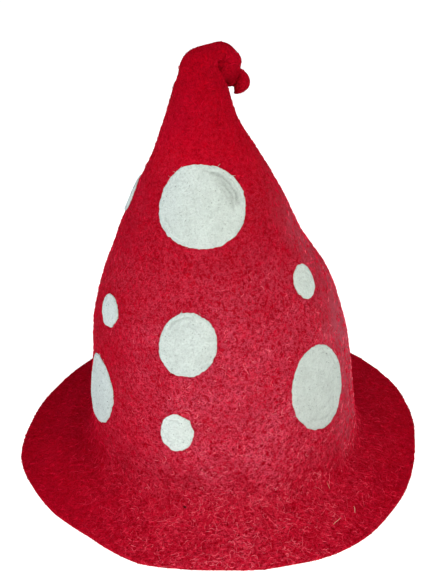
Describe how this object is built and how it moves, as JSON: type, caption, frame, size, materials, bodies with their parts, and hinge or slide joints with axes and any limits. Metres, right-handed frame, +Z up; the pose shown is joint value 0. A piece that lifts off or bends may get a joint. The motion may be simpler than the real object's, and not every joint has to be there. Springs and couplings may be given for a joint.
{
  "type": "felt sauna hat",
  "caption": "Thick wool felt sauna hat shaped like a toadstool: flat round brim, tall leaning crown, tip folded over and curled, white felt dots.",
  "frame": {"origin": "middle of the face that the hat rests on, under the head opening", "axes": "+Z up to the folded tip, +X to the side that the tip is folded to, -Y to the front"},
  "size_m": [0.2936, 0.2916, 0.3084],
  "materials": {
    "red_felt": "thick fuzzy wet-felted wool, matte",
    "white_felt": "white wool felt, matte"
  },
  "bodies": {
    "root": {"felt_body": "red_felt", "dot_front_upper": "white_felt", "dot_front_middle": "white_felt", "dot_front_lower": "white_felt", "dot_right_upper": "white_felt", "dot_right_lower": "white_felt", "dot_left_middle": "white_felt", "dot_left_lower": "white_felt", "dot_left_upper": "white_felt", "dot_back_upper": "white_felt", "dot_back_middle": "white_felt", "dot_back_lower": "white_felt", "dot_back_left": "white_felt", "dot_back_right": "white_felt"}
  },
  "joints": []
}
